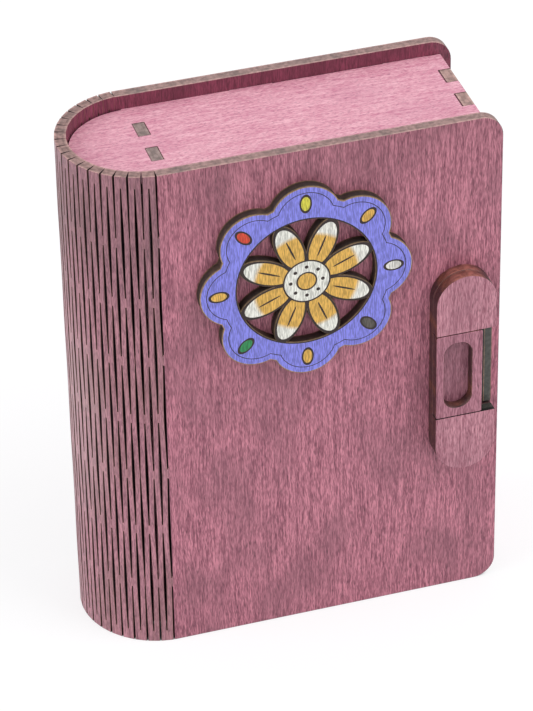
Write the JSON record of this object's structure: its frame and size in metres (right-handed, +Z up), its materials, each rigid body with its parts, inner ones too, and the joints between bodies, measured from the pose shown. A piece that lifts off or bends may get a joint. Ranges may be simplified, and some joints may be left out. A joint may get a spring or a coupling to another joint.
{
  "type": "book-shaped keepsake box",
  "caption": "Book-shaped keepsake box of stained plywood, with a slotted spine that bends to open the front cover and a sliding latch at the fore edge.",
  "frame": {"origin": "centre of the footprint that the box stands on, at the height of the covers' lower edges", "axes": "+Z up along the spine, +X from the spine to the fore edge, front cover and latch facing -Y"},
  "size_m": [0.1116, 0.049, 0.148],
  "materials": {
    "cover_ply": "rose-stained birch, satin",
    "spine_ply": "rose-stained birch, satin",
    "plate_ply": "pink-stained birch, satin",
    "latch_ply": "rose-stained birch, satin",
    "emblem_paint": "painted birch, matt"
  },
  "bodies": {
    "box": {"back_cover": "cover_ply", "top_plate": "plate_ply", "bottom_plate": "plate_ply", "spine_wall": "plate_ply", "fore_edge_wall": "plate_ply"},
    "strip_01": {"spine_strip_01": "spine_ply"},
    "strip_02": {"spine_strip_02": "spine_ply"},
    "strip_03": {"spine_strip_03": "spine_ply"},
    "strip_04": {"spine_strip_04": "spine_ply"},
    "strip_05": {"spine_strip_05": "spine_ply"},
    "strip_06": {"spine_strip_06": "spine_ply"},
    "strip_07": {"spine_strip_07": "spine_ply"},
    "strip_08": {"spine_strip_08": "spine_ply"},
    "strip_09": {"spine_strip_09": "spine_ply"},
    "strip_10": {"spine_strip_10": "spine_ply"},
    "strip_11": {"spine_strip_11": "spine_ply"},
    "strip_12": {"spine_strip_12": "spine_ply"},
    "strip_13": {"spine_strip_13": "spine_ply"},
    "strip_14": {"spine_strip_14": "spine_ply"},
    "strip_15": {"spine_strip_15": "spine_ply"},
    "strip_16": {"spine_strip_16": "spine_ply"},
    "strip_17": {"spine_strip_17": "spine_ply"},
    "strip_18": {"spine_strip_18": "spine_ply"},
    "cover": {"front_cover": "cover_ply", "latch_base": "latch_ply", "latch_cap_upper": "latch_ply", "latch_cap_lower": "latch_ply", "emblem": "emblem_paint"},
    "slider": {"slider_grip": "latch_ply", "slider_flange": "latch_ply", "slider_bolt": "latch_ply"}
  },
  "joints": [
    {"name": "fold_06", "type": "hinge", "parent": "box", "child": "strip_06", "pos_m": [-0.04416, 0.0214, 0.074], "axis": [0, 0, -1], "range_deg": [0, 56.84]},
    {"name": "fold_13", "type": "hinge", "parent": "strip_06", "child": "strip_13", "pos_m": [-0.05543, 0.00302, 0.074], "axis": [0, 0, -1], "range_deg": [0, 66.32]},
    {"name": "cover_fold", "type": "hinge", "parent": "strip_13", "child": "cover", "pos_m": [-0.04416, -0.01535, 0.074], "axis": [0, 0, -1], "range_deg": [0, 56.84]},
    {"name": "bend_01", "type": "hinge", "parent": "box", "child": "strip_01", "pos_m": [-0.03588, 0.02303, 0.074], "axis": [0, 0, -1], "range_deg": [0, 9.47]},
    {"name": "bend_02", "type": "hinge", "parent": "strip_01", "child": "strip_02", "pos_m": [-0.03915, 0.02248, 0.074], "axis": [0, 0, -1], "range_deg": [0, 9.47]},
    {"name": "bend_03", "type": "hinge", "parent": "strip_02", "child": "strip_03", "pos_m": [-0.04228, 0.0214, 0.074], "axis": [0, 0, -1], "range_deg": [0, 9.47]},
    {"name": "bend_04", "type": "hinge", "parent": "strip_05", "child": "strip_04", "pos_m": [-0.04781, 0.01779, 0.074], "axis": [0, 0, 1], "range_deg": [0, 9.47]},
    {"name": "bend_05", "type": "hinge", "parent": "strip_06", "child": "strip_05", "pos_m": [-0.05006, 0.01535, 0.074], "axis": [0, 0, 1], "range_deg": [0, 9.47]},
    {"name": "bend_07", "type": "hinge", "parent": "strip_06", "child": "strip_07", "pos_m": [-0.05187, 0.01258, 0.074], "axis": [0, 0, -1], "range_deg": [0, 9.47]},
    {"name": "bend_08", "type": "hinge", "parent": "strip_07", "child": "strip_08", "pos_m": [-0.0532, 0.00954, 0.074], "axis": [0, 0, -1], "range_deg": [0, 9.47]},
    {"name": "bend_09", "type": "hinge", "parent": "strip_08", "child": "strip_09", "pos_m": [-0.05401, 0.00633, 0.074], "axis": [0, 0, -1], "range_deg": [0, 9.47]},
    {"name": "bend_10", "type": "hinge", "parent": "strip_11", "child": "strip_10", "pos_m": [-0.05401, -0.00028, 0.074], "axis": [0, 0, 1], "range_deg": [0, 9.47]},
    {"name": "bend_11", "type": "hinge", "parent": "strip_12", "child": "strip_11", "pos_m": [-0.0532, -0.00349, 0.074], "axis": [0, 0, 1], "range_deg": [0, 9.47]},
    {"name": "bend_12", "type": "hinge", "parent": "strip_13", "child": "strip_12", "pos_m": [-0.05187, -0.00653, 0.074], "axis": [0, 0, 1], "range_deg": [0, 9.47]},
    {"name": "bend_14", "type": "hinge", "parent": "strip_13", "child": "strip_14", "pos_m": [-0.05006, -0.0093, 0.074], "axis": [0, 0, -1], "range_deg": [0, 9.47]},
    {"name": "bend_15", "type": "hinge", "parent": "strip_14", "child": "strip_15", "pos_m": [-0.04781, -0.01174, 0.074], "axis": [0, 0, -1], "range_deg": [0, 9.47]},
    {"name": "bend_16", "type": "hinge", "parent": "strip_15", "child": "strip_16", "pos_m": [-0.0452, -0.01378, 0.074], "axis": [0, 0, -1], "range_deg": [0, 9.47]},
    {"name": "bend_17", "type": "hinge", "parent": "strip_18", "child": "strip_17", "pos_m": [-0.03915, -0.01643, 0.074], "axis": [0, 0, 1], "range_deg": [0, 9.47]},
    {"name": "bend_18", "type": "hinge", "parent": "cover", "child": "strip_18", "pos_m": [-0.03588, -0.01698, 0.074], "axis": [0, 0, 1], "range_deg": [0, 9.47]},
    {"name": "latch_slide", "type": "slide", "parent": "cover", "child": "slider", "axis": [1, 0, 0], "range_m": [0, 0.003]}
  ],
  "couplings": [
    {"joint": "fold_06", "follows": "cover_fold", "ratio": 1},
    {"joint": "fold_13", "follows": "cover_fold", "ratio": 1.1667},
    {"joint": "bend_01", "follows": "cover_fold", "ratio": 0.16667},
    {"joint": "bend_02", "follows": "cover_fold", "ratio": 0.16667},
    {"joint": "bend_03", "follows": "cover_fold", "ratio": 0.16667},
    {"joint": "bend_04", "follows": "cover_fold", "ratio": 0.16667},
    {"joint": "bend_05", "follows": "cover_fold", "ratio": 0.16667},
    {"joint": "bend_07", "follows": "cover_fold", "ratio": 0.16667},
    {"joint": "bend_08", "follows": "cover_fold", "ratio": 0.16667},
    {"joint": "bend_09", "follows": "cover_fold", "ratio": 0.16667},
    {"joint": "bend_10", "follows": "cover_fold", "ratio": 0.16667},
    {"joint": "bend_11", "follows": "cover_fold", "ratio": 0.16667},
    {"joint": "bend_12", "follows": "cover_fold", "ratio": 0.16667},
    {"joint": "bend_14", "follows": "cover_fold", "ratio": 0.16667},
    {"joint": "bend_15", "follows": "cover_fold", "ratio": 0.16667},
    {"joint": "bend_16", "follows": "cover_fold", "ratio": 0.16667},
    {"joint": "bend_17", "follows": "cover_fold", "ratio": 0.16667},
    {"joint": "bend_18", "follows": "cover_fold", "ratio": 0.16667}
  ]
}
